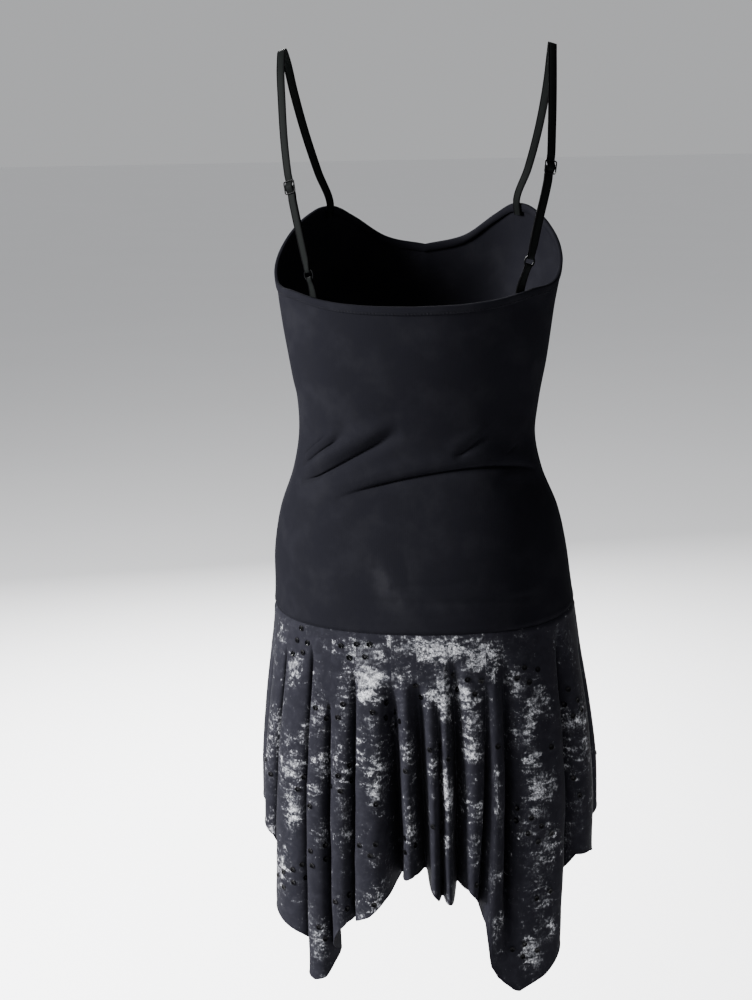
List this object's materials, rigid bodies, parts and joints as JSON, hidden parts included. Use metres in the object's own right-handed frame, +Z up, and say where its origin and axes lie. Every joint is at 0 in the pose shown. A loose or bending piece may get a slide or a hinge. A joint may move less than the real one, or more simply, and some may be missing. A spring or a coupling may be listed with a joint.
{
  "type": "evening dress",
  "caption": "Sleeveless slip dress with a plain fitted body, two thin adjustable straps and a short fluted skirt with a pointed handkerchief hem.",
  "frame": {"origin": "midway between the tops of the two shoulder straps, at the level where they lie on the shoulders", "axes": "+Z up, the wearer faces -Y, +X is to the wearer's left; the dress hangs below the origin"},
  "size_m": [0.3517, 0.2606, 0.9104],
  "materials": {
    "jersey": "matt, soft sheen",
    "foil_cloth": "matt with worn silver foil and sequins",
    "strap_satin": "satin",
    "black_plastic": "gloss"
  },
  "bodies": {
    "root": {"bodice_back": "jersey", "bodice_front": "jersey", "top_binding_back": "jersey", "top_binding_front": "jersey", "skirt_back": "foil_cloth", "skirt_front": "foil_cloth", "strap_right": "strap_satin", "strap_left": "strap_satin", "strap_tab_right": "strap_satin", "strap_tab_left": "strap_satin", "strap_slider_right": "black_plastic", "strap_slider_left": "black_plastic", "strap_ring_right": "black_plastic", "strap_ring_left": "black_plastic"}
  },
  "joints": []
}
